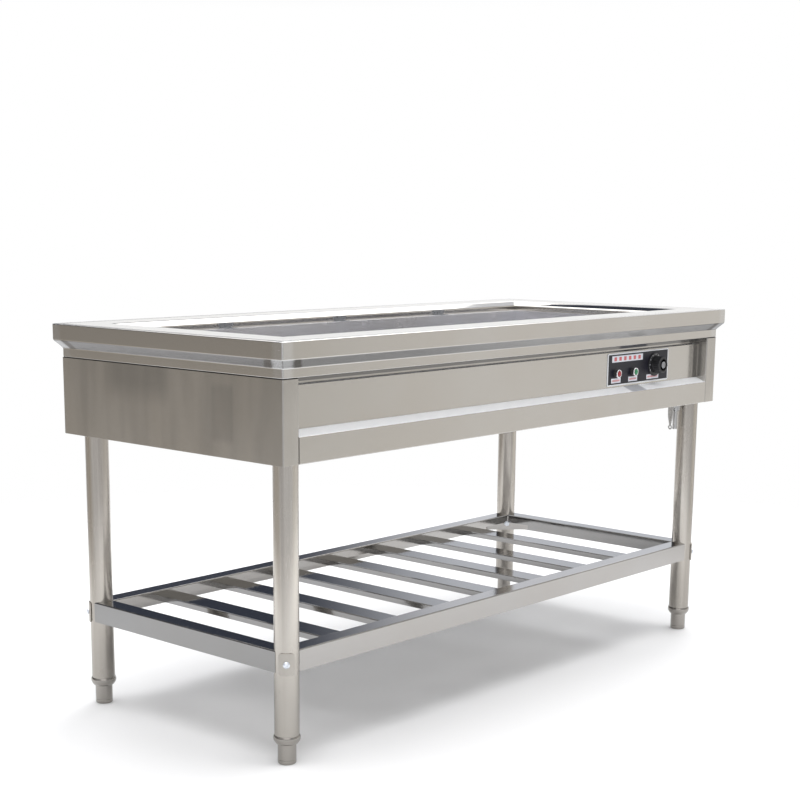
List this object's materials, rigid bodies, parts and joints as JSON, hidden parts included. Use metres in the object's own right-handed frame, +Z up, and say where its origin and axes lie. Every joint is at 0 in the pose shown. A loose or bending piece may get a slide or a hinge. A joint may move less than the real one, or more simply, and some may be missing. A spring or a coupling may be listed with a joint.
{
  "type": "heated serving counter",
  "caption": "Free-standing stainless serving counter with a long heated basin in a wide welded rim, front control plate, four tube legs and a slatted lower shelf.",
  "frame": {"origin": "on the floor under the middle of the counter", "axes": "+X along the counter to the right as seen by the user, front looks to -Y, +Z up"},
  "size_m": [1.6, 0.71, 0.85],
  "materials": {
    "brushed_sheet": "brushed stainless sheet, grain along the length of each piece",
    "tube_steel": "drawn stainless tube, fine polish",
    "foot_steel": "turned stainless",
    "plain_steel": "plain stainless",
    "bright_metal": "bright plated",
    "insulation": "mineral fibre board",
    "plate_black": "printed black plate with a pale border",
    "knob_black": "moulded black plastic",
    "dark_plastic": "moulded dark plastic",
    "pale_plastic": "moulded pale plastic",
    "red_lens": "translucent red",
    "green_lens": "translucent green",
    "wire_sleeve": "heat-resistant sleeve",
    "heater_sheath": "heat-darkened steel sheath"
  },
  "bodies": {
    "counter_frame": {"top_rim": "brushed_sheet", "basin": "brushed_sheet", "basin_floor": "brushed_sheet", "left_side_panel": "brushed_sheet", "right_side_panel": "brushed_sheet", "front_panel": "brushed_sheet", "front_lower_rail": "brushed_sheet", "back_panel": "brushed_sheet", "bottom_panel": "brushed_sheet", "shelf_front_rail": "brushed_sheet", "shelf_rear_rail": "brushed_sheet", "shelf_left_rail": "brushed_sheet", "shelf_right_rail": "brushed_sheet", "leg_saddles": "brushed_sheet", "heater_guard": "brushed_sheet", "shelf_slat_1": "brushed_sheet", "shelf_slat_2": "brushed_sheet", "shelf_slat_3": "brushed_sheet", "shelf_slat_4": "brushed_sheet", "shelf_slat_5": "brushed_sheet", "shelf_slat_6": "brushed_sheet", "shelf_slat_7": "brushed_sheet", "leg_front_left": "tube_steel", "leg_front_right": "tube_steel", "leg_rear_left": "tube_steel", "leg_rear_right": "tube_steel", "leg_collars": "foot_steel", "pan_divider_brackets": "plain_steel", "leg_sockets": "plain_steel", "shelf_corner_gussets": "plain_steel", "drain_fitting": "plain_steel", "drain_pipe": "plain_steel", "drain_spout": "plain_steel", "valve_body": "plain_steel", "thermostat_bulb": "plain_steel", "panel_screws": "bright_metal", "leg_bolts": "bright_metal", "leg_nuts": "bright_metal", "heater_nuts": "bright_metal", "lamp_bezels": "bright_metal", "insulation_board": "insulation", "control_plate": "plate_black", "thermostat_body": "dark_plastic", "lamp_bodies": "dark_plastic", "terminal_block": "pale_plastic", "cable_gland": "dark_plastic", "red_lamp_lens": "red_lens", "green_lamp_lens": "green_lens", "wiring_loom": "wire_sleeve", "heater_front": "heater_sheath", "heater_rear": "heater_sheath"},
    "thermostat_dial": {"thermostat_knob": "knob_black", "knob_cap": "bright_metal", "thermostat_shaft": "plain_steel"},
    "drain_handle": {"valve_ball": "plain_steel", "valve_lever": "plain_steel"},
    "levelling_foot_front_left": {"foot_front_left": "foot_steel"},
    "levelling_foot_front_right": {"foot_front_right": "foot_steel"},
    "levelling_foot_rear_left": {"foot_rear_left": "foot_steel"},
    "levelling_foot_rear_right": {"foot_rear_right": "foot_steel"}
  },
  "joints": [
    {"name": "thermostat_turn", "type": "hinge", "parent": "counter_frame", "child": "thermostat_dial", "pos_m": [0.535, -0.3145, 0.7215], "axis": [0, -1, 0], "range_deg": [0, 270]},
    {"name": "drain_turn", "type": "hinge", "parent": "counter_frame", "child": "drain_handle", "pos_m": [0.69, -0.286, 0.604], "axis": [1, 0, 0], "range_deg": [0, 90]},
    {"name": "foot_travel_front_left", "type": "slide", "parent": "counter_frame", "child": "levelling_foot_front_left", "axis": [0, 0, 1], "range_m": [-0.02, 0.02]},
    {"name": "foot_travel_front_right", "type": "slide", "parent": "counter_frame", "child": "levelling_foot_front_right", "axis": [0, 0, 1], "range_m": [-0.02, 0.02]},
    {"name": "foot_travel_rear_left", "type": "slide", "parent": "counter_frame", "child": "levelling_foot_rear_left", "axis": [0, 0, 1], "range_m": [-0.02, 0.02]},
    {"name": "foot_travel_rear_right", "type": "slide", "parent": "counter_frame", "child": "levelling_foot_rear_right", "axis": [0, 0, 1], "range_m": [-0.02, 0.02]}
  ]
}
